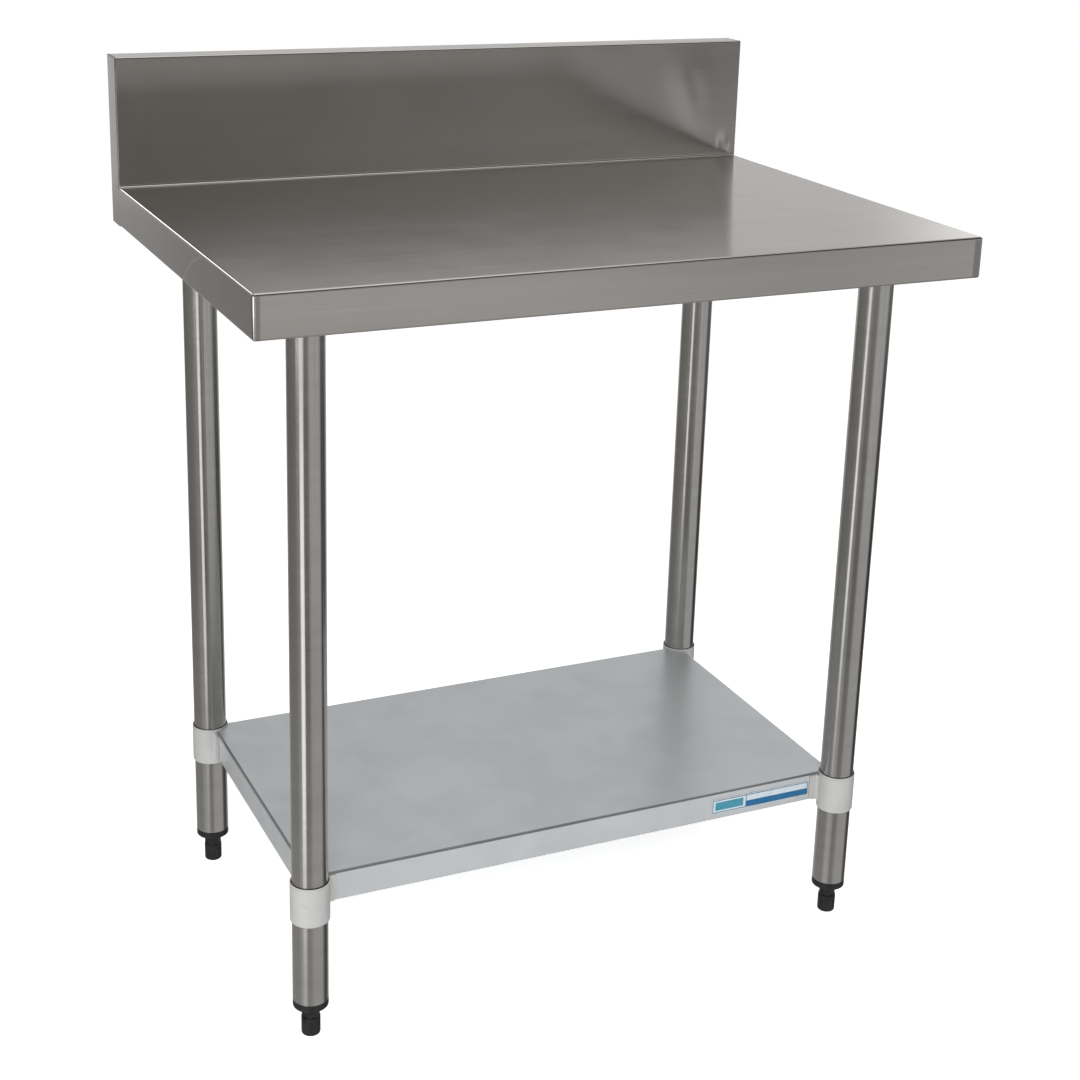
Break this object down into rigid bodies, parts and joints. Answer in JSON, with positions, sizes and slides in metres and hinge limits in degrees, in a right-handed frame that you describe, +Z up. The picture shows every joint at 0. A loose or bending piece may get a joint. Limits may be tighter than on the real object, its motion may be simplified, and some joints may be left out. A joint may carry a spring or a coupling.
{
  "type": "stainless work table",
  "caption": "Freestanding stainless kitchen work table with a splashback, round legs, levelling feet and an adjustable galvanised undershelf.",
  "frame": {"origin": "on the floor, at the centre of the table's plan", "axes": "+X to the right for a person standing at the front, +Y towards the splashback at the back, +Z up"},
  "size_m": [0.86, 0.6, 1.057],
  "materials": {
    "stainless": "brushed along the length",
    "stainless_tube": "bright drawn tube",
    "galvanised": "satin galvanised",
    "zinc_plated": "bright zinc",
    "black_plastic": "moulded, semi-matt",
    "sound_deadening": "matt bitumen pad",
    "label_film": "printed film with no text"
  },
  "bodies": {
    "frame": {"worktop": "stainless", "splash_end_left": "stainless", "splash_end_right": "stainless", "sound_strip_left": "sound_deadening", "top_channel_left": "galvanised", "top_stud_left_1": "zinc_plated", "top_nut_left_1": "zinc_plated", "top_stud_left_2": "zinc_plated", "top_nut_left_2": "zinc_plated", "sound_strip_right": "sound_deadening", "top_channel_right": "galvanised", "top_stud_right_1": "zinc_plated", "top_nut_right_1": "zinc_plated", "top_stud_right_2": "zinc_plated", "top_nut_right_2": "zinc_plated", "sound_strip_centre": "sound_deadening", "top_channel_centre": "galvanised", "top_stud_centre_1": "zinc_plated", "top_nut_centre_1": "zinc_plated", "top_stud_centre_2": "zinc_plated", "top_nut_centre_2": "zinc_plated", "leg_socket_front_left": "galvanised", "socket_screw_front_left": "zinc_plated", "leg_front_left": "stainless_tube", "foot_insert_front_left": "black_plastic", "leg_socket_front_right": "galvanised", "socket_screw_front_right": "zinc_plated", "leg_front_right": "stainless_tube", "foot_insert_front_right": "black_plastic", "leg_socket_back_left": "galvanised", "socket_screw_back_left": "zinc_plated", "leg_back_left": "stainless_tube", "foot_insert_back_left": "black_plastic", "leg_socket_back_right": "galvanised", "socket_screw_back_right": "zinc_plated", "leg_back_right": "stainless_tube", "foot_insert_back_right": "black_plastic"},
    "shelf_unit": {"undershelf": "galvanised", "shelf_channel": "galvanised", "plain_label": "label_film", "shelf_sleeve_front_left": "galvanised", "shelf_sleeve_front_right": "galvanised", "shelf_sleeve_back_left": "galvanised", "shelf_sleeve_back_right": "galvanised", "sleeve_screw_front_left": "zinc_plated", "sleeve_screw_front_right": "zinc_plated", "sleeve_screw_back_left": "zinc_plated", "sleeve_screw_back_right": "zinc_plated"},
    "stem_front_left": {"foot_stem_front_left": "zinc_plated"},
    "foot_body_front_left": {"foot_front_left": "black_plastic"},
    "stem_front_right": {"foot_stem_front_right": "zinc_plated"},
    "foot_body_front_right": {"foot_front_right": "black_plastic"},
    "stem_back_left": {"foot_stem_back_left": "zinc_plated"},
    "foot_body_back_left": {"foot_back_left": "black_plastic"},
    "stem_back_right": {"foot_stem_back_right": "zinc_plated"},
    "foot_body_back_right": {"foot_back_right": "black_plastic"}
  },
  "joints": [
    {"name": "shelf_height", "type": "slide", "parent": "frame", "child": "shelf_unit", "axis": [0, 0, 1], "range_m": [-0.09, 0.5]},
    {"name": "foot_height_front_left", "type": "slide", "parent": "frame", "child": "stem_front_left", "axis": [0, 0, -1], "range_m": [0, 0.025]},
    {"name": "foot_turn_front_left", "type": "hinge", "parent": "stem_front_left", "child": "foot_body_front_left", "pos_m": [-0.349, -0.214, 0.02], "axis": [0, 0, -1], "range_deg": [0, 6000]},
    {"name": "foot_height_front_right", "type": "slide", "parent": "frame", "child": "stem_front_right", "axis": [0, 0, -1], "range_m": [0, 0.025]},
    {"name": "foot_turn_front_right", "type": "hinge", "parent": "stem_front_right", "child": "foot_body_front_right", "pos_m": [0.349, -0.214, 0.02], "axis": [0, 0, -1], "range_deg": [0, 6000]},
    {"name": "foot_height_back_left", "type": "slide", "parent": "frame", "child": "stem_back_left", "axis": [0, 0, -1], "range_m": [0, 0.025]},
    {"name": "foot_turn_back_left", "type": "hinge", "parent": "stem_back_left", "child": "foot_body_back_left", "pos_m": [-0.349, 0.202, 0.02], "axis": [0, 0, -1], "range_deg": [0, 6000]},
    {"name": "foot_height_back_right", "type": "slide", "parent": "frame", "child": "stem_back_right", "axis": [0, 0, -1], "range_m": [0, 0.025]},
    {"name": "foot_turn_back_right", "type": "hinge", "parent": "stem_back_right", "child": "foot_body_back_right", "pos_m": [0.349, 0.202, 0.02], "axis": [0, 0, -1], "range_deg": [0, 6000]}
  ],
  "couplings": [
    {"joint": "foot_turn_front_left", "follows": "foot_height_front_left", "rad_per_m": 4188.8},
    {"joint": "foot_turn_front_right", "follows": "foot_height_front_right", "rad_per_m": 4188.8},
    {"joint": "foot_turn_back_left", "follows": "foot_height_back_left", "rad_per_m": 4188.8},
    {"joint": "foot_turn_back_right", "follows": "foot_height_back_right", "rad_per_m": 4188.8}
  ]
}
